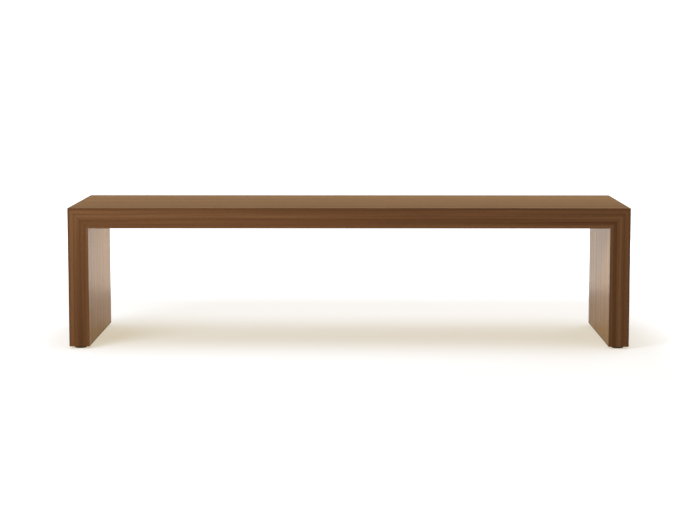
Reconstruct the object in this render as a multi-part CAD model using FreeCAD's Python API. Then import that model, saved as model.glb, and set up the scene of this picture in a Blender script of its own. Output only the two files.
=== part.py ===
"""Backless waterfall bench: a slab seat folded into two slab legs at mitred corners.

Each slab is a torsion box: two veneered skins glued to a timber core, with a solid lipping
along its front and rear edge. The corners are mitred and held by loose splines. Every leg
stands on two screw-adjusted levelling feet.

Frame: X along the bench, Y from front to rear, Z up. The origin is on the floor, under the
middle of the seat. Units are millimetres.
"""

import FreeCAD
import Part
import math
import os
from FreeCAD import Vector

# ---------------------------------------------------------------- driving dimensions
LENGTH = 1800.0           # overall, along X
DEPTH = 540.0             # overall, along Y
HEIGHT = 454.0            # floor to the top of the seat
PANEL = 65.0              # thickness of the seat slab and of both leg slabs
FLOOR_GAP = 7.0           # floor to the underside of a leg with the feet wound right in
ARRIS = 1.0               # radius that eases every outer edge

SKIN = 12.0               # veneered board on each face of a slab
LIPPING = 8.0             # solid strip along the front and rear edge of a slab
BASE_LIPPING = 4.0        # solid strip that closes the bottom of a leg

EDGE_TIMBER = 28.0        # width of the core timbers beside the lippings
INNER_TIMBER = 18.0       # width of the core timbers inside the slabs, and of the ribs
INNER_COUNT = 2           # inner stringers in the seat, and inner stiles in each leg
RIB_COUNT = 5             # cross ribs in the seat
MITRE_BLOCK = 60.0        # length of a corner block beyond the inner corner
FOOT_RAIL = 50.0          # height of the solid rail at the bottom of a leg
LAP_CLEARANCE = 0.2       # side clearance of a rib in a stringer's notch, in all

SPLINE_THICKNESS = 6.0    # loose splines across each mitre
SPLINE_WIDTH = 30.0       # across the joint, half in each block
SPLINE_SHARES = (0.50, 0.82)   # places along the core's mitre face, outer corner to inner
SPLINE_END_STOP = 20.0    # core left whole between a spline's end and the lipping
GROOVE_CLEARANCE = 0.1    # all round a spline
GROOVE_BOTTOM_GAP = 0.5   # glue room beyond each edge of a spline

FOOT_SETBACK = 33.0       # leg's front face to the axis of a foot
FOOT_TRAVEL = 12.0        # how far a foot can be wound out

STUD_RADIUS = 4.0         # M8, modelled at its outer diameter
THREAD_HELD = 14.0        # thread left in the leg when a foot is wound right out
STUD_TIP_BEVEL = 1.0
HEAD_RADIUS = 7.0
HEAD_HEIGHT = 2.8
KEY_ACROSS_FLATS = 5.0    # hexagon socket in the head, reached from under the foot
KEY_DEPTH = 2.0

BASE_RADIUS = 19.0        # moulded foot
BASE_TO_LEG = 0.5         # air between the foot's top and the leg when wound in
BASE_FLOOR = 2.0          # thickness under the stud's head
BASE_BOTTOM_ROUND = 1.2
BASE_TOP_ROUND = 0.9
HEAD_END_PLAY = 0.1       # above and below the captive head
HEAD_SIDE_PLAY = 0.3      # round the captive head
SHANK_SIDE_PLAY = 1.0     # round the shank, where it leaves the foot
KEY_ACCESS_PLAY = 0.8     # round the corners of the key

INSERT_LENGTH = 18.0      # threaded insert
INSERT_RADIUS = 5.8
INSERT_RING_DEPTH = 0.5   # anchoring rings round the sleeve
INSERT_RING_COUNT = 6
FLANGE_RADIUS = 9.5
FLANGE_THICKNESS = 1.5
THREAD_PLAY = 0.06        # stud in the insert
INSERT_FIT = 0.05         # glue film round the insert
STUD_END_ROOM = 3.0       # hole beyond the stud's tip
STUD_HOLE_PLAY = 0.6      # round the stud above the insert

# ---------------------------------------------------------------- worked-out values
HALF_LENGTH = LENGTH / 2
HALF_DEPTH = DEPTH / 2
TOP = HEIGHT
UNDERSIDE = HEIGHT - PANEL
LEG_BOTTOM = FLOOR_GAP
INSIDE_HALF_DEPTH = HALF_DEPTH - LIPPING
CORE_BOTTOM = LEG_BOTTOM + BASE_LIPPING
RAIL_TOP = CORE_BOTTOM + FOOT_RAIL
BLOCK_BOTTOM = UNDERSIDE - MITRE_BLOCK
BLOCK_INNER_X = HALF_LENGTH - PANEL - MITRE_BLOCK
FOOT_X = HALF_LENGTH - PANEL / 2
FOOT_Y = HALF_DEPTH - FOOT_SETBACK
DOWN_MITRE = Vector(1, 0, -1).normalize()    # along the left mitre, from its outer corner
INTO_SEAT = Vector(1, 0, 1).normalize()      # square to the left mitre

parts = {}


# ---------------------------------------------------------------- helpers
def box(x, y, z):
    """A block between pairs of coordinates along X, Y and Z."""
    size = [high - low for low, high in (x, y, z)]
    return Part.makeBox(*size, Vector(x[0], y[0], z[0]))


def prism_along_y(outline, y):
    """An outline of (x, z) points, extruded between two Y coordinates."""
    corners = [Vector(px, y[0], pz) for px, pz in outline]
    face = Part.Face(Part.makePolygon(corners + corners[:1]))
    return face.extrude(Vector(0, y[1] - y[0], 0))


def turned(outline, x, y, z):
    """A solid of revolution about a vertical axis at (x, y), from (radius, height) points."""
    corners = [Vector(x + radius, y, z + height) for radius, height in outline]
    face = Part.Face(Part.makePolygon(corners + corners[:1]))
    return face.revolve(Vector(x, y, z), Vector(0, 0, 1), 360)


def cylinder(radius, z, x, y):
    """A vertical cylinder at (x, y), between two heights."""
    return Part.makeCylinder(radius, z[1] - z[0], Vector(x, y, z[0]))


def mirrored(shape):
    """The right-hand copy of a left-hand piece."""
    return shape.mirror(Vector(0, 0, 0), Vector(1, 0, 0))


def spread(count, low, high, width):
    """Centres of equal timbers, with equal gaps between them and to both ends."""
    gap = (high - low - count * width) / (count + 1)
    return [low + (gap + width) * (i + 1) - width / 2 for i in range(count)]


# ---------------------------------------------------------------- outer form and mitres
def bench_envelope():
    """The folded slab as one solid, with every convex edge eased."""
    outline = [
        (-HALF_LENGTH, LEG_BOTTOM),
        (-HALF_LENGTH, TOP),
        (HALF_LENGTH, TOP),
        (HALF_LENGTH, LEG_BOTTOM),
        (HALF_LENGTH - PANEL, LEG_BOTTOM),
        (HALF_LENGTH - PANEL, UNDERSIDE),
        (-HALF_LENGTH + PANEL, UNDERSIDE),
        (-HALF_LENGTH + PANEL, LEG_BOTTOM),
    ]
    slab = prism_along_y(outline, (-HALF_DEPTH, HALF_DEPTH))
    return slab.makeFillet(ARRIS, [edge for edge in slab.Edges if not is_inner_corner(edge)])


def is_inner_corner(edge):
    """True for the two edges where a leg's inner face meets the seat's underside."""
    centre = edge.CenterOfMass
    at_leg = abs(abs(centre.x) - (HALF_LENGTH - PANEL)) < 1e-6
    return at_leg and abs(centre.z - UNDERSIDE) < 1e-6 and abs(centre.y) < 1e-6


def seat_zone():
    """What lies between the two mitres: the seat's share of the folded slab."""
    outline = [
        (-HALF_LENGTH, TOP),
        (HALF_LENGTH, TOP),
        (HALF_LENGTH - PANEL, UNDERSIDE),
        (-HALF_LENGTH + PANEL, UNDERSIDE),
    ]
    return prism_along_y(outline, (-HALF_DEPTH, HALF_DEPTH))


def left_leg_zone():
    """What lies below the left mitre: the left leg's share of the folded slab."""
    outline = [
        (-HALF_LENGTH, LEG_BOTTOM),
        (-HALF_LENGTH, TOP),
        (-HALF_LENGTH + PANEL, UNDERSIDE),
        (-HALF_LENGTH + PANEL, LEG_BOTTOM),
    ]
    return prism_along_y(outline, (-HALF_DEPTH, HALF_DEPTH))


ENVELOPE = bench_envelope()
SEAT = ENVELOPE.common(seat_zone())
LEFT_LEG = ENVELOPE.common(left_leg_zone())
BETWEEN_LIPPINGS = (-INSIDE_HALF_DEPTH, INSIDE_HALF_DEPTH)
LIPPING_BANDS = {
    "front": (-HALF_DEPTH, -INSIDE_HALF_DEPTH),
    "rear": (INSIDE_HALF_DEPTH, HALF_DEPTH),
}
EDGE_BANDS = {
    "front": (-INSIDE_HALF_DEPTH, -INSIDE_HALF_DEPTH + EDGE_TIMBER),
    "rear": (INSIDE_HALF_DEPTH - EDGE_TIMBER, INSIDE_HALF_DEPTH),
}
BETWEEN_EDGES = (EDGE_BANDS["front"][1], EDGE_BANDS["rear"][0])
INNER_BANDS = [
    (centre - INNER_TIMBER / 2, centre + INNER_TIMBER / 2)
    for centre in spread(INNER_COUNT, *BETWEEN_EDGES, INNER_TIMBER)
]


# ---------------------------------------------------------------- loose splines
def spline_places():
    """Distances along the mitre from the outer corner to the middle of each spline."""
    diagonal = math.sqrt(2)
    start, end = SKIN * diagonal, (PANEL - SKIN) * diagonal
    return [start + share * (end - start) for share in SPLINE_SHARES]


def left_spline(place, side_room, bottom_room, end_room):
    """A spline across the left mitre, or its groove when room is added."""
    outer_corner = Vector(-HALF_LENGTH, 0, TOP)
    middle = outer_corner + DOWN_MITRE * place
    thick = DOWN_MITRE * (SPLINE_THICKNESS / 2 + side_room)
    wide = INTO_SEAT * (SPLINE_WIDTH / 2 + bottom_room)
    corners = [middle - thick - wide, middle - thick + wide, middle + thick + wide,
               middle + thick - wide]
    reach = INSIDE_HALF_DEPTH - SPLINE_END_STOP + end_room
    return prism_along_y([(c.x, c.z) for c in corners], (-reach, reach))


def left_grooves():
    """Both grooves of the left mitre as one cutter."""
    cutters = [left_spline(place, GROOVE_CLEARANCE, GROOVE_BOTTOM_GAP, GROOVE_CLEARANCE)
               for place in spline_places()]
    return Part.makeCompound(cutters)


def make_splines():
    for name, place in zip(("outer", "inner"), spline_places()):
        spline = left_spline(place, 0, 0, 0)
        parts[f"left_corner_{name}_spline"] = spline
        parts[f"right_corner_{name}_spline"] = mirrored(spline)


# ---------------------------------------------------------------- seat
def make_seat_shell():
    """Two skins and two lippings: what is seen of the seat."""
    span = (-HALF_LENGTH, HALF_LENGTH)
    parts["seat_top_skin"] = box(span, BETWEEN_LIPPINGS, (TOP - SKIN, TOP)).common(SEAT)
    lower = (UNDERSIDE, UNDERSIDE + SKIN)
    parts["seat_underside_skin"] = box(span, BETWEEN_LIPPINGS, lower).common(SEAT)
    for name, band in LIPPING_BANDS.items():
        parts[f"seat_{name}_lipping"] = box(span, band, (UNDERSIDE, TOP)).common(SEAT)


def make_seat_core():
    """Corner blocks, stringers along the seat and ribs across it."""
    core = (UNDERSIDE + SKIN, TOP - SKIN)
    block = box((-HALF_LENGTH, -BLOCK_INNER_X), BETWEEN_LIPPINGS, core).common(seat_zone())
    block = block.cut(left_grooves())
    parts["seat_left_mitre_block"] = block
    parts["seat_right_mitre_block"] = mirrored(block)

    between_blocks = (-BLOCK_INNER_X, BLOCK_INNER_X)
    for name, band in EDGE_BANDS.items():
        parts[f"seat_{name}_stringer"] = box(between_blocks, band, core)

    mid_height = (core[0] + core[1]) / 2
    rib_centres = spread(RIB_COUNT, *between_blocks, INNER_TIMBER)
    half_notch = (INNER_TIMBER + LAP_CLEARANCE) / 2
    upper, lower = (mid_height, core[1]), (core[0], mid_height)

    for number, band in enumerate(INNER_BANDS, 1):
        stringer = box(between_blocks, band, core)
        for x in rib_centres:
            stringer = stringer.cut(box((x - half_notch, x + half_notch), band, upper))
        parts[f"seat_inner_stringer_{number}"] = stringer

    for number, x in enumerate(rib_centres, 1):
        across = (x - INNER_TIMBER / 2, x + INNER_TIMBER / 2)
        rib = box(across, BETWEEN_EDGES, core)
        for band in INNER_BANDS:
            middle = sum(band) / 2
            rib = rib.cut(box(across, (middle - half_notch, middle + half_notch), lower))
        parts[f"seat_rib_{number}"] = rib


# ---------------------------------------------------------------- legs
def foot_pocket(x, y):
    """Everything that a foot's insert and stud need cut out of a leg."""
    flange = cylinder(FLANGE_RADIUS + INSERT_FIT,
                      (LEG_BOTTOM, LEG_BOTTOM + FLANGE_THICKNESS + INSERT_FIT), x, y)
    sleeve = cylinder(INSERT_RADIUS + INSERT_FIT,
                      (LEG_BOTTOM, LEG_BOTTOM + INSERT_LENGTH + INSERT_FIT), x, y)
    hole = cylinder(STUD_RADIUS + STUD_HOLE_PLAY, (LEG_BOTTOM, STUD_TIP + STUD_END_ROOM), x, y)
    return flange.fuse([sleeve, hole])


HEAD_BOTTOM = BASE_FLOOR + HEAD_END_PLAY
HEAD_TOP = HEAD_BOTTOM + HEAD_HEIGHT
STUD_TIP = LEG_BOTTOM + FOOT_TRAVEL + THREAD_HELD
FOOT_PLACES = {"front": (-FOOT_X, -FOOT_Y), "rear": (-FOOT_X, FOOT_Y)}


def left_leg_pieces():
    """The left leg's pieces, by short name. The right leg mirrors them."""
    outer, inner = -HALF_LENGTH, -HALF_LENGTH + PANEL
    core = (outer + SKIN, inner - SKIN)
    full_height = (CORE_BOTTOM, TOP)
    pieces = {
        "outer_skin": box((outer, core[0]), BETWEEN_LIPPINGS, full_height).common(LEFT_LEG),
        "inner_skin": box((core[1], inner), BETWEEN_LIPPINGS, full_height).common(LEFT_LEG),
    }
    for name, band in LIPPING_BANDS.items():
        strip = box((outer, inner), band, (LEG_BOTTOM, TOP))
        pieces[f"{name}_lipping"] = strip.common(LEFT_LEG)

    pockets = Part.makeCompound([foot_pocket(*place) for place in FOOT_PLACES.values()])
    base = box((outer, inner), BETWEEN_LIPPINGS, (LEG_BOTTOM, CORE_BOTTOM)).common(LEFT_LEG)
    pieces["base_lipping"] = base.cut(pockets)
    pieces["foot_rail"] = box(core, BETWEEN_LIPPINGS, (CORE_BOTTOM, RAIL_TOP)).cut(pockets)

    block = box(core, BETWEEN_LIPPINGS, (BLOCK_BOTTOM, TOP)).common(left_leg_zone())
    pieces["mitre_block"] = block.cut(left_grooves())

    stile_height = (RAIL_TOP, BLOCK_BOTTOM)
    for name, band in EDGE_BANDS.items():
        pieces[f"{name}_stile"] = box(core, band, stile_height)
    for number, band in enumerate(INNER_BANDS, 1):
        pieces[f"inner_stile_{number}"] = box(core, band, stile_height)
    return pieces


def make_legs():
    for name, piece in left_leg_pieces().items():
        parts[f"left_leg_{name}"] = piece
        parts[f"right_leg_{name}"] = mirrored(piece)


# ---------------------------------------------------------------- levelling feet
def threaded_insert(x, y):
    """Flanged metal sleeve, flush with the underside of the leg."""
    bore = STUD_RADIUS + THREAD_PLAY
    outline = [(bore, 0), (FLANGE_RADIUS, 0), (FLANGE_RADIUS, FLANGE_THICKNESS),
               (INSERT_RADIUS, FLANGE_THICKNESS)]
    pitch = (INSERT_LENGTH - FLANGE_THICKNESS) / (INSERT_RING_COUNT + 0.5)
    for ring in range(INSERT_RING_COUNT):
        low = FLANGE_THICKNESS + pitch * (ring + 0.5)
        outline += [(INSERT_RADIUS, low), (INSERT_RADIUS - INSERT_RING_DEPTH, low),
                    (INSERT_RADIUS, low + pitch / 2)]
    outline += [(INSERT_RADIUS, INSERT_LENGTH), (bore, INSERT_LENGTH)]
    return turned(outline, x, y, LEG_BOTTOM)


def foot_stud(x, y):
    """Steel stud whose flat head is captive in the moulded foot."""
    outline = [
        (0, HEAD_BOTTOM),
        (HEAD_RADIUS, HEAD_BOTTOM),
        (HEAD_RADIUS, HEAD_TOP),
        (STUD_RADIUS, HEAD_TOP),
        (STUD_RADIUS, STUD_TIP - STUD_TIP_BEVEL),
        (STUD_RADIUS - STUD_TIP_BEVEL, STUD_TIP),
        (0, STUD_TIP),
    ]
    key_radius = KEY_ACROSS_FLATS / math.sqrt(3)
    corners = [Vector(x + key_radius * math.cos(math.radians(60 * i)),
                      y + key_radius * math.sin(math.radians(60 * i)), HEAD_BOTTOM)
               for i in range(6)]
    socket = Part.Face(Part.makePolygon(corners + corners[:1])).extrude(Vector(0, 0, KEY_DEPTH))
    return turned(outline, x, y, 0).cut(socket)


def foot_base(x, y):
    """Moulded disc that holds the stud's head, with a hole below it for the key."""
    height = FLOOR_GAP - BASE_TO_LEG
    disc = cylinder(BASE_RADIUS, (0, height), x, y)
    for level, radius in ((0, BASE_BOTTOM_ROUND), (height, BASE_TOP_ROUND)):
        rim = [edge for edge in disc.Edges
               if len(edge.Vertexes) == 1 and abs(edge.CenterOfMass.z - level) < 1e-6]
        disc = disc.makeFillet(radius, rim)
    key_hole = KEY_ACROSS_FLATS / math.sqrt(3) + KEY_ACCESS_PLAY
    chamber = cylinder(HEAD_RADIUS + HEAD_SIDE_PLAY, (BASE_FLOOR, HEAD_TOP + HEAD_END_PLAY), x, y)
    access = cylinder(key_hole, (-1, BASE_FLOOR + 1), x, y)
    neck = cylinder(STUD_RADIUS + SHANK_SIDE_PLAY, (HEAD_TOP, height + 1), x, y)
    return disc.cut([chamber, access, neck])


def make_feet():
    makers = {"insert": threaded_insert, "stud": foot_stud, "base": foot_base}
    for end, place in FOOT_PLACES.items():
        for name, make in makers.items():
            piece = make(*place)
            parts[f"left_{end}_foot_{name}"] = piece
            parts[f"right_{end}_foot_{name}"] = mirrored(piece)


# ---------------------------------------------------------------- build and write
def main():
    make_seat_shell()
    make_seat_core()
    make_splines()
    make_legs()
    make_feet()
    os.makedirs("parts", exist_ok=True)
    for name, shape in parts.items():
        solids = shape.Solids
        if not solids or not all(s.isValid() and s.Volume > 0 for s in solids):
            raise SystemExit(f"{name} is not made of valid solids")
        whole = solids[0] if len(solids) == 1 else Part.makeCompound(solids)
        whole.exportStep(f"parts/{name}.step")
    print(len(parts), "pieces written")


main()
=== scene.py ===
# %% [markdown]
# # A waterfall bench in walnut veneer
# The bench is one thick slab, folded down at both ends. The measured model of it is loaded
# first, as a frame that never moves. Everything here is added to that frame, in metres,
# with X along the bench, -Y its front and Z up.

# %% Load the frame
import bpy
import bmesh
import math
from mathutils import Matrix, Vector


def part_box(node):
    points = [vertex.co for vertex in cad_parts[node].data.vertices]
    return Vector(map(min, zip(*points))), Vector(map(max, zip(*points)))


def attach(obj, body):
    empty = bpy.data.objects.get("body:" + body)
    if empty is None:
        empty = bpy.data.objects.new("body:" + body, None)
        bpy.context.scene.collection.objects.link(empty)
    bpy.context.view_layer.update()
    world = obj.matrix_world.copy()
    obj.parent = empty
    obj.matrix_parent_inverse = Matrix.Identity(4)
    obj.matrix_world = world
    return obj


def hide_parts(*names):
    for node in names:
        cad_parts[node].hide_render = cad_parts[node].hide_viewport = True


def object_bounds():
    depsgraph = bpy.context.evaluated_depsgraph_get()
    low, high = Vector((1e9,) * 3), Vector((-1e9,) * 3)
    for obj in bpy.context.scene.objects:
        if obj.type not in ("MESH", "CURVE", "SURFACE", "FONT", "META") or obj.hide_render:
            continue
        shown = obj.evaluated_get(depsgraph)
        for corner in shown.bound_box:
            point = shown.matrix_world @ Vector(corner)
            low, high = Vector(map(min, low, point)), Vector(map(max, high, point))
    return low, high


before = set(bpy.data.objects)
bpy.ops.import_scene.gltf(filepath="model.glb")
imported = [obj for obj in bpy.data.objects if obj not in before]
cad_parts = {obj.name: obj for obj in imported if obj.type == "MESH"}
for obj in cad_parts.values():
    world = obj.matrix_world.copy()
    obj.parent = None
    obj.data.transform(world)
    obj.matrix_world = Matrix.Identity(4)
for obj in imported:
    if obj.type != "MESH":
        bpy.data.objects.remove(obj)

cad_low, cad_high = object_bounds()

# %% [markdown]
# ## Sizes read from the frame
# Every place below is worked out from these few sizes. They come from the frame's own boxes,
# so a bench of another size is dressed by the same script.

# %% Sizes
half_length = cad_high[0]
half_depth = cad_high[1]
height = cad_high[2]
skin_low, skin_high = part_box("seat_top_skin")
lipping_low, lipping_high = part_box("seat_front_lipping")
panel = lipping_high[2] - lipping_low[2]
lipping_width = lipping_high[1] - lipping_low[1]
skin = skin_high[2] - skin_low[2]
leg_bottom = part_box("left_leg_front_lipping")[0][2]
print(f"slab {panel * 1000:.0f} mm thick, skins {skin * 1000:.0f} mm")
print(f"lippings {lipping_width * 1000:.0f} mm, {leg_bottom * 1000:.0f} mm off the floor")

# %% [markdown]
# ## Shader maths as expressions
# A material is a graph of nodes. Written node by node it is hard to read, so one small class
# wraps an output socket and turns `+`, `-`, `*` and `/` into Math nodes. A second class holds
# the material, and its one `node` method makes every other kind of node.

# %% A socket that does arithmetic
class Wire:
    """An output socket. An operator adds the Math node that does it."""

    def __init__(self, finish, socket):
        self.finish = finish
        self.socket = socket

    def __add__(self, other):
        return self.finish.math("ADD", self, other)

    def __sub__(self, other):
        return self.finish.math("SUBTRACT", self, other)

    def __rsub__(self, other):
        return self.finish.math("SUBTRACT", other, self)

    def __mul__(self, other):
        return self.finish.math("MULTIPLY", self, other)

    def __truediv__(self, other):
        return self.finish.math("DIVIDE", self, other)

    def __abs__(self):
        return self.finish.math("ABSOLUTE", self)

    __radd__ = __add__
    __rmul__ = __mul__


# %% A material under construction
class Finish:
    """A node tree, with the few kinds of node that this bench needs."""

    def __init__(self, tree):
        self.tree = tree
        self.tree.nodes.clear()

    def node(self, kind, settings=None, inputs=None, output=0):
        """A node of any kind: settings first, then the values or wires of its sockets."""
        made = self.tree.nodes.new("ShaderNode" + kind)
        for name, value in (settings or {}).items():
            if name == "stops":
                self.set_stops(made.color_ramp, value)
            else:
                setattr(made, name, value)
        for name, value in (inputs or {}).items():
            if isinstance(value, Wire):
                self.tree.links.new(value.socket, made.inputs[name])
            else:
                made.inputs[name].default_value = value
        return Wire(self, made.outputs[output]) if made.outputs else None

    @staticmethod
    def set_stops(ramp, stops):
        """Colours along a ramp, from (position, (r, g, b)) pairs."""
        while len(ramp.elements) < len(stops):
            ramp.elements.new(0.5)
        for element, (position, colour) in zip(ramp.elements, stops):
            element.position = position
            element.color = (*colour, 1)

    def math(self, operation, *values):
        """A Math node, for an operation that has no Python operator here."""
        return self.node("Math", {"operation": operation}, dict(enumerate(values)))

    def position(self):
        """The point being shaded, in the bench's own frame, as three wires."""
        place = self.node("TexCoord", output="Object")
        return [self.node("SeparateXYZ", None, {0: place}, axis) for axis in range(3)]

    def vector(self, x, y, z):
        """One vector from three wires or numbers."""
        return self.node("CombineXYZ", None, {0: x, 1: y, 2: z})

    def noise(self, x, y, z, detail=2.0):
        """Smooth noise from 0 to 1, about 0.5, with one blob in each unit of x, y and z."""
        settings = {"noise_dimensions": "3D"}
        inputs = {"Vector": self.vector(x, y, z), "Scale": 1.0, "Detail": detail}
        return self.node("TexNoise", settings, inputs)

    def rise(self, value, low, high):
        """0 below low, 1 above high, and smooth between."""
        settings = {"interpolation_type": "SMOOTHSTEP"}
        inputs = {"Value": value, "From Min": low, "From Max": high}
        return self.node("MapRange", settings, inputs)

    def ramp(self, value, stops):
        """A colour read from the stops at the value."""
        return self.node("ValToRGB", {"stops": stops}, {0: value})

    def mix(self, share, first, second, blend="MIX"):
        """The first colour turning into the second as share goes from 0 to 1."""
        settings = {"data_type": "RGBA", "blend_type": blend}
        return self.node("Mix", settings, {0: share, 6: first, 7: second}, 2)

    def bump(self, height_map, distance):
        """A surface that looks raised by the distance, in metres, where the map is 1."""
        inputs = {"Height": height_map, "Distance": distance, "Strength": 1.0}
        return self.node("Bump", None, inputs)

    def surface(self, **inputs):
        """The Principled shader, wired to the output."""
        shader = self.node("BsdfPrincipled", None, inputs)
        self.node("OutputMaterial", None, {"Surface": shader})


def new_finish(name):
    """A material by name, and the Finish that fills it."""
    material = bpy.data.materials.new(name)
    material.use_nodes = True
    return material, Finish(material.node_tree)


def dress(thing, material):
    """Gives every face of an object one material."""
    thing.data.materials.clear()
    thing.data.materials.append(material)


# %% [markdown]
# ## Camera
# A short lens close to the bench would splay its legs. A long lens from six metres away, a
# little above seat height, keeps them upright and shows the seat only as a thin strip. The
# Standard view transform leaves the colours as they are mixed.

# %% Camera
distance = 6.05
eye_height = 0.967
off_centre = 0.032
look_down = math.radians(6.48)
look_left = math.radians(0.27)
camera_data = bpy.data.cameras.new("camera")
camera_data.sensor_width = 36.0
camera_data.lens = 97.8
camera = bpy.data.objects.new("camera", camera_data)
camera.location = (off_centre, -half_depth - distance, eye_height)
camera.rotation_euler = (math.radians(90) - look_down, 0, look_left)
bpy.context.scene.collection.objects.link(camera)
bpy.context.scene.camera = camera
bpy.context.scene.view_settings.view_transform = "Standard"
print("camera", distance, "m in front of the bench,", eye_height, "m up")

# %% [markdown]
# ## Light from all round
# In a studio the bench would stand under a big lit ceiling, before a white backdrop, between
# dimmer walls. Those could be built as glowing cards, but one sky whose strength depends only
# on the direction does the same with nothing to place. Its white strip just above the horizon
# is the backdrop, and the lacquer on the seat mirrors the edge of it.

# %% Sky
world = bpy.data.worlds.new("studio")
world.use_nodes = True
bpy.context.scene.world = world
sky = Finish(world.node_tree)
direction = sky.node("TexCoord", output="Generated")
ahead, upward = [sky.node("SeparateXYZ", None, {0: direction}, axis) for axis in (1, 2)]
horizontal = sky.math("SQRT", 1 - upward * upward)
behind = sky.rise(ahead / horizontal, 0.55, 0.85)
backdrop = 1.05
front_wall = 0.02
rear_wall = 0.13
ceiling = 4.75
wall = front_wall + behind * (rear_wall - front_wall)
above_backdrop = sky.rise(upward, 0.055, 0.095)
overhead = sky.rise(upward, 0.72, 0.95)
strength = backdrop + above_backdrop * (wall - backdrop) + overhead * (ceiling - wall)
background = sky.node("Background", None, {"Color": (1, 1, 1, 1), "Strength": strength})
sky.node("OutputWorld", None, {"Surface": background})
print("ceiling", ceiling, "backdrop", backdrop, "rear wall", rear_wall, "front wall", front_wall)

# %% [markdown]
# ## Lamps
# Three lamps add direction. The key, to the left of the camera, models the front. The rear one
# is low, and lights the inner face of the left leg. The third lies on the floor behind the
# bench and stands in for warm light that a wooden floor or a lit sweep would send up. Every lamp
# could be left in the reflections, but the low rear one would then show as a white patch on the
# seat, so it is kept out of them.

# %% Soft lights
def soft_light(name, place, aim, width, tall, watts, tint=(1, 1, 1), reflected=True):
    """A rectangular lamp that the camera doesn't see, and gloss may not either."""
    data = bpy.data.lights.new(name, "AREA")
    data.shape = "RECTANGLE"
    data.size = width
    data.size_y = tall
    data.energy = watts
    data.color = tint
    lamp = bpy.data.objects.new(name, data)
    lamp.location = place
    lamp.rotation_euler = (Vector(aim) - Vector(place)).to_track_quat("-Z", "Y").to_euler()
    lamp.visible_camera = False
    lamp.visible_glossy = reflected
    bpy.context.scene.collection.objects.link(lamp)
    print(name, "lamp", watts, "W")


soft_light("key", (-2.2, -2.8, 2.2), (-0.3, 0, 0.3), 1.6, 1.6, 150)
soft_light("rear", (2.2, 2.6, 0.5), (0, 0, 0.25), 1.4, 0.9, 62, reflected=False)
soft_light("floor_panel", (0, 3.0, 0.002), (0, 3.0, 1), 8.0, 3.6, 94, (1, 0.80, 0.56))


# %% [markdown]
# ## Floor
# The floor is a white sweep that runs out of sight. A plain white sheet stays grey until its
# lamps burn out everything else, so this one also glows by itself. Round the bench it glows
# less and warmer, a painted shadow that deepens the bench's soft shadow, and the glow grows
# smoothly to full white further out. Beside the bench's ends it is raised, painted light that
# also lifts the key lamp's shadow off the floor there.

# %% Floor
def flat_sheet(name, half_width, level):
    """A square of floor at one height."""
    mesh = bpy.data.meshes.new(name)
    form = bmesh.new()
    bmesh.ops.create_grid(form, x_segments=1, y_segments=1, size=half_width)
    bmesh.ops.translate(form, vec=(0, 0, level), verts=form.verts)
    form.to_mesh(mesh)
    form.free()
    sheet = bpy.data.objects.new(name, mesh)
    bpy.context.scene.collection.objects.link(sheet)
    return sheet


below_feet = 0.0002
floor = flat_sheet("floor", 40.0, -below_feet)
# painted shadow: near the bench the floor glows less and warmer, which deepens and warms the soft
# shadow under it
painted_shadow_glow = (0.62, 0.545, 0.41, 1)
far_glow = (1.06, 1.04, 1.01, 1)
floor_material, paint = new_finish("white_floor")
east, north, _ = paint.position()
beyond = paint.rise(north, 0.8, 1.6)
# beside the ends the glow rises most of the way to full white, painted light that also hides the
# key lamp's shadow on the floor there
beside = paint.rise(abs(east), half_length + 0.02, half_length + 0.4) * 0.7
in_front = 1 - paint.rise(north, -1.9, -0.7)
outside_painted_shadow = paint.math("MAXIMUM", paint.math("MAXIMUM", beyond, beside), in_front)
glow = paint.mix(outside_painted_shadow, painted_shadow_glow, far_glow)
# the cool base colour under the warm glow keeps the open floor white and turns the painted shadow
# warm
paint.surface(**{"Base Color": (0.21, 0.24, 0.30, 1), "Roughness": 0.9, "Specular IOR Level": 0.0,
                 "Emission Color": glow, "Emission Strength": 1.0})
dress(floor, floor_material)
print("floor glows from", painted_shadow_glow[:3], "to", far_glow[:3])

# %% [markdown]
# ## Wood
# Straight-grained walnut has quiet stripes of several sizes at once: broad bands of colour a
# few centimetres wide, rings of some millimetres, fine lines and finer fibres. On top come a
# few dark streaks, and the open pores, which are short dark dashes. An image texture would
# show its edges and repeats, so each size is a noise, stretched a long way along the grain.
# One table holds the sizes and `grain` lays them all. Then `wood` colours them, from a smaller
# table of how light, streaked and porous that wood is.

# %% The woods
veneer_walnut = {
    "tones": [(0.18, (0.074, 0.033, 0.008)), (0.42, (0.125, 0.059, 0.015)),
              (0.58, (0.158, 0.078, 0.021)), (0.85, (0.222, 0.118, 0.036))],
    "pore": (0.030, 0.013, 0.006, 1), "pores": 0.45, "streaks": 0.16}
# a lighter copy of the veneer walnut for the inner faces of the legs: its extra lightness is
# painted sheen, the glossy light those faces catch
walnut_with_painted_sheen = {
    "tones": [(0.18, (0.126, 0.056, 0.009)), (0.42, (0.216, 0.100, 0.017)),
              (0.58, (0.268, 0.129, 0.024)), (0.85, (0.362, 0.191, 0.045))],
    "pore": (0.034, 0.015, 0.007, 1), "pores": 0.45, "streaks": 0.16}
solid_walnut = {
    "tones": [(0.18, (0.043, 0.017, 0.0065)), (0.42, (0.077, 0.033, 0.012)),
              (0.58, (0.098, 0.043, 0.0165)), (0.85, (0.140, 0.067, 0.029))],
    "pore": (0.022, 0.009, 0.004, 1), "pores": 0.45, "streaks": 0.16}
poplar = {
    "tones": [(0.18, (0.33, 0.27, 0.13)), (0.42, (0.50, 0.41, 0.23)),
              (0.58, (0.58, 0.48, 0.29)), (0.85, (0.70, 0.60, 0.40))],
    "pore": (0.25, 0.19, 0.10, 1), "pores": 0.12, "streaks": 0.10}
board_brown = (0.235, 0.150, 0.080, 1)
veneer_thickness = 0.0006
glue_line = 0.0001
pore_depth = 0.00008
lacquer_gloss = 0.026
lacquer_roughness = 0.26
mitre_darkness = 0.6
print("veneer", veneer_thickness * 1000, "mm thick")

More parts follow.
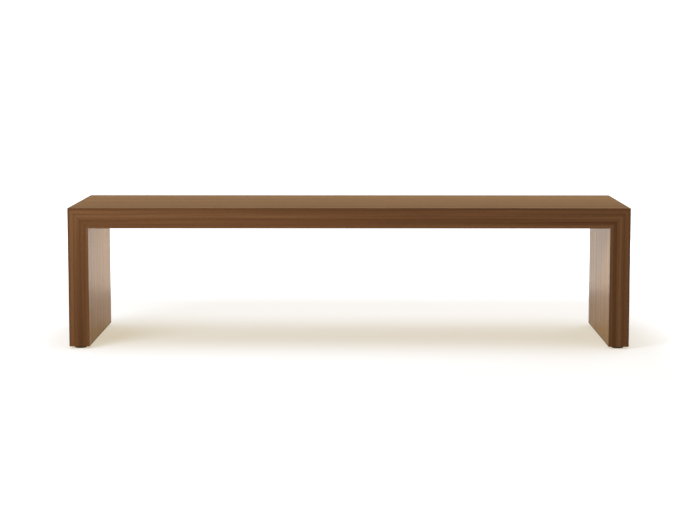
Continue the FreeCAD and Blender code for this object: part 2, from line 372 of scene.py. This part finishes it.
# %% Stripes and leaves
stripes = {                       # how many in a metre along and across the grain, detail, seed
    "bands": (0.35, 24, 2.0, 7.7),
    "rings": (0.7, 105, 3.0, 13.3),
    "lines": (3.0, 620, 2.0, 21.9),
    "fibres": (40, 3600, 1.0, 27.1),
    "streaks": (0.3, 55, 2.0, 41.7),
    "pores": (85, 2300, 1.0, 55.5),
}
shares = {"bands": 0.8, "rings": 0.8, "lines": 0.45, "fibres": 0.25}     # in the wood's tone
leaves = 4                        # of veneer, side by side across a broad face
# the steady lightening of the leaves towards the rear is painted sheen, not a difference in the
# wood
painted_sheen_per_leaf = 0.045             # how much lighter each is than the one in front of it
leaf_change = 0.23                # in the seed, so neighbours are alike but not the same
for kind, (_, each_across, _, _) in stripes.items():
    print(kind, f"about {1000 / each_across:.1f} mm apart")


# %% Grain
def grain(paint, run, width, seed):
    """Every size of stripe, all bent sideways by the same slow wander."""
    wander = paint.noise(run * 0.8, width * 5, seed + 3.1)
    width = width + (wander - 0.5) * 0.02
    waves = {}
    for kind, (each_along, each_across, detail, own_seed) in stripes.items():
        waves[kind] = paint.noise(run * each_along, width * each_across, seed + own_seed, detail)
    waves["streaks"] = paint.rise(waves["streaks"], 0.60, 0.72)
    waves["pores"] = paint.rise(waves["pores"], 0.62, 0.72)
    return waves


# %% Wood as a function
def wood(name, look, along, across, seed, leaf=None, depth=None):
    """Wood whose grain runs with `along`. Each direction takes x, y and z, and gives metres.
    With a leaf width, leaves of veneer lie side by side. With a depth, which is counted in
    from the face, only the start of it is veneer, and brown board shows below."""
    material, paint = new_finish(name)
    place = paint.position()
    run, width = along(*place), across(*place)
    shade = 0.0
    if leaf:
        number = paint.math("FLOOR", width / leaf)
        # painted sheen: each leaf is a little lighter than the one in front, so every broad face
        # lightens towards the rear
        shade = (number - (leaves - 1) / 2) * painted_sheen_per_leaf
        seed = seed + number * leaf_change
        width = width - number * leaf
    waves = grain(paint, run, width, seed)
    tone = 0.5 + shade - waves["streaks"] * look["streaks"]
    for kind, share in shares.items():
        tone = tone + (waves[kind] - 0.5) * share
    pores = waves["pores"]
    colour = paint.mix(pores * look["pores"], paint.ramp(tone, look["tones"]), look["pore"])
    colour = paint.mix(mitre_line(*place) * mitre_darkness, colour, look["pore"])
    if depth:
        below = paint.rise(depth(*place), veneer_thickness, veneer_thickness + glue_line)
        colour = paint.mix(below, colour, board_brown)
    relief = paint.bump((waves["fibres"] - 0.5) * 0.3 - pores, pore_depth)
    satin = pores * 0.2 + waves["rings"] * 0.12 + lacquer_roughness
    paint.surface(**{"Base Color": colour, "Roughness": satin,
                     "Specular IOR Level": lacquer_gloss, "Normal": relief})
    return material


def mitre_line(x, y, z):
    """1 on the hairline where the seat and a leg meet at 45 degrees, and 0 elsewhere."""
    off_mitre = abs((half_length - abs(x)) - (height - z))
    return 1 - x.finish.rise(off_mitre, 0.00015, 0.00045)


# %% [markdown]
# ## Walnut on the seat and the legs
# The grain runs along the seat and then down both ends without a break, as it does when the
# pieces are cut from one sheet. A texture wrapped round each board would break at the corner,
# so the pattern is placed by distance instead, and `down_leg` goes on counting where
# `along_seat` stops. The broad faces are four leaves of veneer side by side. The lippings are
# solid strips, a little darker and redder, and their stripes keep their distance from the
# outer face, so they turn the mitre with it.

# %% Directions
inside_half_depth = half_depth - lipping_width
leaf_width = inside_half_depth * 2 / leaves
ring_lean = 0.6


def from_front(x, y, z):
    return y + inside_half_depth


def below_top(x, y, z):
    return height - z


def above_underside(x, y, z):
    return z - (height - panel)


def along_seat(x, y, z):
    return x


def inward(y):
    """How far in from the front or rear face. The growth rings of a solid strip lean that way."""
    return (half_depth - abs(y)) * ring_lean


def rings_below_top(x, y, z):
    return below_top(x, y, z) - inward(y)


# %% Seat
outside_leaves, inside_leaves, strip_cut, base_cut = 1.0, 5.0, 54.2, 9.0     # noise seeds
pieces = {
    "top_skin": (veneer_walnut, along_seat, from_front, outside_leaves, leaf_width, below_top),
    "underside_skin": (veneer_walnut, along_seat, from_front, inside_leaves, leaf_width,
                       above_underside),
    "front_lipping": (solid_walnut, along_seat, rings_below_top, strip_cut),
    "rear_lipping": (solid_walnut, along_seat, rings_below_top, strip_cut),
}
for piece, recipe in pieces.items():
    dress(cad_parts[f"seat_{piece}"], wood(f"walnut_seat_{piece}", *recipe))
print(len(pieces), "seat pieces, veneer in leaves", round(leaf_width * 1000), "mm wide")


# %% Legs
def leg_pieces(sign):
    """The recipe of each leg piece. The leg's outer face is at sign * half_length."""
    def down_leg(x, y, z):
        return (z - (half_length + height)) * -sign

    def from_outside(x, y, z):
        return half_length - x * sign

    def from_inside(x, y, z):
        return x * sign - (half_length - panel)

    def rings_across(x, y, z):
        return half_length - x * sign - inward(y)

    def base_rings(x, y, z):
        return half_length - x * sign - z * ring_lean

    return {
        "outer_skin": (veneer_walnut, down_leg, from_front, outside_leaves, leaf_width,
                       from_outside),
        # painted sheen: the inner skins take the lighter copy of the walnut
        "inner_skin": (walnut_with_painted_sheen, down_leg, from_front, inside_leaves, leaf_width,
                       from_inside),
        "front_lipping": (solid_walnut, down_leg, rings_across, strip_cut),
        "rear_lipping": (solid_walnut, down_leg, rings_across, strip_cut),
        "base_lipping": (solid_walnut, from_front, base_rings, base_cut),
    }


for side, sign in (("left", -1), ("right", 1)):
    pieces = leg_pieces(sign)
    for piece, recipe in pieces.items():
        dress(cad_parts[f"{side}_leg_{piece}"], wood(f"walnut_{side}_{piece}", *recipe))
    print(side, "leg:", len(pieces), "pieces dressed")

# %% [markdown]
# ## Timber inside the slabs
# Nobody sees the core once the skins are glued on, but each timber is still a real piece of
# pale poplar. The grain's direction could be set piece by piece. A timber is cut with its grain
# along its longest side, though, so the direction is read from the piece's own box. A mitre
# block is longest across the bench, so its grain runs that way, along the joint.

# %% Core
directions = {
    "x": (lambda x, y, z: x, lambda x, y, z: y + z),
    "y": (lambda x, y, z: y, lambda x, y, z: x + z),
    "z": (lambda x, y, z: z, lambda x, y, z: x + y),
}
poplar_by_axis = {axis: wood(f"poplar_along_{axis}", poplar, *ways, 31.0)
                  for axis, ways in directions.items()}
core_words = ("stringer", "rib", "block", "stile", "rail")
core = [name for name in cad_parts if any(word in name for word in core_words)]
for name in core:
    low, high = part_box(name)
    sides = [high[i] - low[i] for i in range(3)]
    dress(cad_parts[name], poplar_by_axis["xyz"[sides.index(max(sides))]])
print(len(core), "core timbers dressed")

# %% [markdown]
# ## Birch plywood splines
# A spline is a strip of thin plywood let into both halves of a mitre. Its edge shows the
# plies: light ones along the strip, and darker end-grain ones between. They could be modelled
# as layers, but a wave through the thickness draws them, with a thin glue line where it
# crosses zero. The thickness lies down the mitre, so that is the way the plies are counted.

# %% Plywood
ply = 0.0012
spline_material, paint = new_finish("birch_plywood")
x, y, z = paint.position()
down_mitre = (half_length - abs(x) + height - z) / math.sqrt(2)
wave = paint.math("SINE", down_mitre * (math.pi / ply))
cross_ply = paint.rise(wave, -0.25, 0.25)
glue = 1 - paint.rise(abs(wave), 0.05, 0.22)
figure = paint.noise(y * 3, down_mitre * 400, 2.0, detail=3.0)
birch = paint.ramp(figure, [(0.25, (0.50, 0.34, 0.18)), (0.75, (0.72, 0.55, 0.35))])
birch = paint.mix(cross_ply * 0.45, birch, (0.34, 0.21, 0.10, 1))
birch = paint.mix(glue * 0.5, birch, (0.12, 0.06, 0.03, 1))
grain_relief = paint.bump(paint.noise(y * 60, down_mitre * 3000, z * 60), 0.00005)
paint.surface(**{"Base Color": birch, "Roughness": figure * 0.2 + 0.55, "Normal": grain_relief})
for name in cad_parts:
    if name.endswith("spline"):
        dress(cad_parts[name], spline_material)

# %% [markdown]
# ## Turned pieces
# A levelling foot has three round parts: a moulded foot, a steel stud and a brass insert. A
# round part could be a cylinder with modifiers, but a thread and a hexagon socket are easier
# as a stack of rings. A ring is a radius and a height, and its radius may change with the
# angle, so the same function turns a plain disc, a fluted edge, a hexagon or a screw thread.

# %% A stack of rings
def turned(name, rings, centre, steps, closed=False):
    """A solid skin through the rings. Radius 0 is a point, and closed joins last to first."""
    form = bmesh.new()
    circles = [ring_corners(form, centre, radius, level, steps) for radius, level in rings]
    pairs = list(zip(circles, circles[1:]))
    if closed:
        pairs.append((circles[-1], circles[0]))
    for first, second in pairs:
        for step in range(steps):
            corners = [first[step % len(first)], first[(step + 1) % len(first)],
                       second[(step + 1) % len(second)], second[step % len(second)]]
            form.faces.new(dict.fromkeys(corners))      # a point's two corners are one
    bmesh.ops.recalc_face_normals(form, faces=form.faces)
    mesh = bpy.data.meshes.new(name)
    form.to_mesh(mesh)
    form.free()
    mesh.shade_smooth()
    mesh.set_sharp_from_angle(angle=math.radians(32))
    piece = bpy.data.objects.new(name, mesh)
    bpy.context.scene.collection.objects.link(piece)
    return piece


def ring_corners(form, centre, radius, level, steps):
    """The corners of one ring, or the single corner of a point."""
    corners = []
    count = 1 if radius == 0 else steps
    for step in range(count):
        angle = 2 * math.pi * step / count
        reach = radius(angle) if callable(radius) else radius
        place = (centre[0] + reach * math.cos(angle), centre[1] + reach * math.sin(angle), level)
        corners.append(form.verts.new(place))
    return corners


def quarter(radius, level, size, start, count=5):
    """Rings round a quarter circle, about a centre at (radius, level), from start degrees."""
    turns = [math.radians(start + 90 * i / count) for i in range(count + 1)]
    return [(radius + size * math.cos(turn), level + size * math.sin(turn)) for turn in turns]


# %% [markdown]
# ## Moulded feet
# The foot is a nylon disc that the stud's flat head is trapped in. Its rim is fluted, so that
# fingers can turn it, and three shallow grooves underneath keep it from skating on grit. A
# hole in the middle lets a hexagon key reach the stud from below. The flutes could be cut one
# by one with booleans, but a radius that dips twenty-four times a turn gives a cleaner mesh.

# %% Shape of a foot
foot_low, foot_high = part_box("left_front_foot_base")
foot_radius = (foot_high[0] - foot_low[0]) / 2
foot_top = foot_high[2]
bottom_round = 0.0012
top_round = 0.0009
flutes = 24
flute_depth = 0.00035
head_room = 0.0073
neck_room = 0.0050
key_room = 0.0037
foot_floor = 0.0020
foot_roof = 0.0050
fine_break = 0.0002
edge_break = 0.0003
groove_places = (0.009, 0.012, 0.015)
print(f"foot {foot_radius * 2000:.0f} mm across, {foot_top * 1000:.1f} mm high, {flutes} flutes")


def fluted(angle):
    """The rim's radius, which dips at each flute."""
    return foot_radius - flute_depth * (0.5 + 0.5 * math.cos(flutes * angle)) ** 2


def groove(radius, width=0.0008, depth=0.0003):
    """Four rings that cut a shallow groove in the underside."""
    return [(radius - width / 2, 0), (radius - width / 4, depth), (radius + width / 4, depth),
            (radius + width / 2, 0)]


def foot_rings():
    """From the key hole, out under the foot, up its rim and back into the head's chamber."""
    rings = [(key_room, edge_break), (key_room + edge_break, 0)]
    for radius in groove_places:
        rings += groove(radius)
    rings += quarter(foot_radius - bottom_round, bottom_round, bottom_round, -90)
    rings += [(fluted, bottom_round + 0.0005), (fluted, foot_top - top_round - 0.0004)]
    rings += quarter(foot_radius - top_round, foot_top - top_round, top_round, 0)
    rings += [(neck_room + fine_break, foot_top), (neck_room, foot_top - fine_break)]
    rings += [(neck_room, foot_roof), (head_room, foot_roof)]
    return rings + [(head_room, foot_floor), (key_room, foot_floor)]


# %% [markdown]
# ## Threaded studs
# The stud is an M8 screw. A thread could be swept along a helix, but its ends are then hard to
# close. Its radius depends on the angle and the height together, because one pitch up is the
# same as one turn round, so rings whose radius follows that rule make it too. The crest is
# flat for an eighth of the pitch and the root for a quarter, with straight flanks between,
# and the thread fades in over its first and last turn.

# %% Shape of a stud
stud_low, stud_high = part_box("left_front_foot_stud")
head_radius = (stud_high[0] - stud_low[0]) / 2
head_bottom = stud_low[2]
head_top = head_bottom + 0.0028
stud_tip = stud_high[2]
thread_radius = 0.0040
pitch = 0.00125
thread_depth = 0.00077
root_share = 0.25
crest_share = 0.125
root_round = 0.0004
thread_bottom = head_top + 0.0008
thread_top = stud_tip - root_round
rings_per_pitch = 6
half_flats = 0.0025
key_depth = 0.0020
core_radius = thread_radius - thread_depth
print(f"stud {(stud_tip - head_bottom) * 1000:.1f} mm long, pitch {pitch * 1000:.2f} mm")


def hexagon(angle):
    """The radius of the key socket."""
    return half_flats / math.cos(angle % (math.pi / 3) - math.pi / 6)


def thread(level):
    """The radius of the screw at one height, as a function of the angle."""
    fade = min(1, (level - thread_bottom) / pitch, (thread_top - level) / pitch)
    flank_share = 1 - root_share - crest_share

    def radius(angle):
        turn = (level / pitch - angle / (2 * math.pi)) % 1
        rise = min(1, max(0, (abs(turn - 0.5) * 2 - root_share) / flank_share))
        return core_radius + thread_depth * rise * max(0, fade)
    return radius


def stud_rings():
    """From the bottom of the key socket, round the head and up the thread to the tip."""
    rings = [(0, head_bottom + key_depth + 0.0004), (hexagon, head_bottom + key_depth),
             (hexagon, head_bottom + edge_break), (half_flats * 1.3, head_bottom),
             (head_radius - edge_break, head_bottom), (head_radius, head_bottom + edge_break),
             (head_radius, head_top - edge_break), (head_radius - edge_break, head_top),
             (core_radius + root_round, head_top), (core_radius, head_top + root_round)]
    count = round((thread_top - thread_bottom) / pitch * rings_per_pitch)
    for i in range(count + 1):
        level = thread_bottom + (thread_top - thread_bottom) * i / count
        rings.append((thread(level), level))
    return rings + [(core_radius - root_round, stud_tip), (0, stud_tip)]


# %% [markdown]
# ## Threaded inserts
# The insert is a brass sleeve with a flange, glued into the bottom of the leg. Each ring round
# the sleeve is square on one side and tapers on the other, like a barb, so that it can't pull
# out of the wood. It turns on the same rings as the foot and the stud.

# %% Shape of an insert
insert_low, insert_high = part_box("left_front_foot_insert")
flange_radius = (insert_high[0] - insert_low[0]) / 2
flange_thickness = 0.0015
sleeve_radius = 0.0058
thread_play = 0.00006
bore = thread_radius + thread_play
bore_lead = 0.0005
anchor_rings = 6
anchor_depth = 0.0005
print(f"insert {(insert_high[2] - insert_low[2]) * 1000:.0f} mm long, {anchor_rings} rings")


def insert_rings():
    """From the mouth of the bore, out round the flange and up the sleeve."""
    bottom, top = insert_low[2], insert_high[2]
    rings = [(bore, bottom + bore_lead), (bore + bore_lead, bottom),
             (flange_radius - fine_break, bottom), (flange_radius, bottom + fine_break),
             (flange_radius, bottom + flange_thickness),
             (sleeve_radius, bottom + flange_thickness)]
    spacing = (top - bottom - flange_thickness) / (anchor_rings + 0.5)
    for i in range(anchor_rings):
        level = bottom + flange_thickness + spacing * (i + 0.5)
        rings += [(sleeve_radius, level), (sleeve_radius - anchor_depth, level + 0.00002),
                  (sleeve_radius, level + spacing / 2)]
    return rings + [(sleeve_radius, top - edge_break), (sleeve_radius - edge_break, top),
                    (bore, top)]


# %% [markdown]
# ## Nylon, zinc and brass
# Moulded nylon is satin, faintly mottled, and rough at the scale of the mould's spark-eroded
# skin. Zinc plating is a grey metal with faint yellow and blue clouds. Brass dulls to brown in
# patches. Each could be one plain colour, but small metal and plastic parts give themselves
# away by looking too even. All three change with position only, so one finish suits every foot.

# %% Nylon
nylon, paint = new_finish("brown_nylon")
x, y, z = paint.position()
mottle = paint.noise(x * 140, y * 140, z * 140, detail=3.0)
skin_texture = paint.noise(x * 5200, y * 5200, z * 5200, detail=1.0)
scuffed = 1 - paint.rise(z, 0.0, 0.0006)
nylon_colour = paint.ramp(mottle, [(0.3, (0.030, 0.016, 0.010)), (0.7, (0.052, 0.028, 0.018))])
nylon_colour = paint.mix(scuffed * mottle, nylon_colour, (0.11, 0.08, 0.06, 1))
paint.surface(**{"Base Color": nylon_colour, "Roughness": mottle * 0.2 + 0.42,
             "Specular IOR Level": 0.4, "Normal": paint.bump(skin_texture, 0.00003)})

# %% Zinc-plated steel
zinc, paint = new_finish("zinc_plated_steel")
x, y, z = paint.position()
clouds = paint.noise(x * 260, y * 260, z * 260, detail=4.0)
turning_marks = paint.noise(x * 90, y * 90, z * 6000, detail=1.0)
zinc_colour = paint.ramp(clouds, [(0.25, (0.47, 0.48, 0.50)), (0.5, (0.58, 0.57, 0.53)),
                              (0.8, (0.66, 0.61, 0.47))])
paint.surface(**{"Base Color": zinc_colour, "Metallic": 1.0, "Roughness": clouds * 0.25 + 0.22,
             "Normal": paint.bump(turning_marks, 0.00001)})

# %% Brass
brass, paint = new_finish("brass")
x, y, z = paint.position()
tarnish = paint.rise(paint.noise(x * 180, y * 180, z * 180, detail=4.0), 0.45, 0.75)
brass_colour = paint.mix(tarnish * 0.7, (0.76, 0.55, 0.21, 1), (0.30, 0.17, 0.07, 1))
machined = paint.noise(x * 80, y * 80, z * 7000, detail=1.0)
paint.surface(**{"Base Color": brass_colour, "Metallic": 1.0, "Roughness": tarnish * 0.3 + 0.25,
             "Normal": paint.bump(machined, 0.00001)})

# %% [markdown]
# ## Four feet
# The three parts of a foot move differently. The insert stays in the leg, the nylon foot
# slides down as the stud is wound out, and the stud slides and turns. Joined into one mesh
# they would move as one, so each part is its own piece, rides on its own body, and stands in
# for the plain part of the frame.

# %% Place the feet
kinds = {
    "base": (foot_rings(), 144, True, nylon, "brown_nylon"),
    "stud": (stud_rings(), 36, False, zinc, "zinc_plated_steel"),
    "insert": (insert_rings(), 72, True, brass, "brass"),
}
for side in ("left", "right"):
    for end in ("front", "rear"):
        foot = f"{side}_{end}_foot"
        bodies = {"base": foot, "stud": f"{foot}_screw", "insert": "bench"}
        low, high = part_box(f"{foot}_base")
        centre = ((low[0] + high[0]) / 2, (low[1] + high[1]) / 2)
        for kind, (rings, steps, closed, material, slot) in kinds.items():
            piece = turned(f"{foot}_{kind}_turned", rings, centre, steps, closed)
            dress(piece, material)
            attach(piece, bodies[kind])
            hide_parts(f"{foot}_{kind}")
            dress(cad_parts[f"{foot}_{kind}"], material)
        print(foot, "stands at", [round(value, 4) for value in centre])

# %% [markdown]
# ## Size of the frame
# The frame's box, measured when it was loaded, is printed.

# %% Finish
print("frame", list(cad_low), list(cad_high))
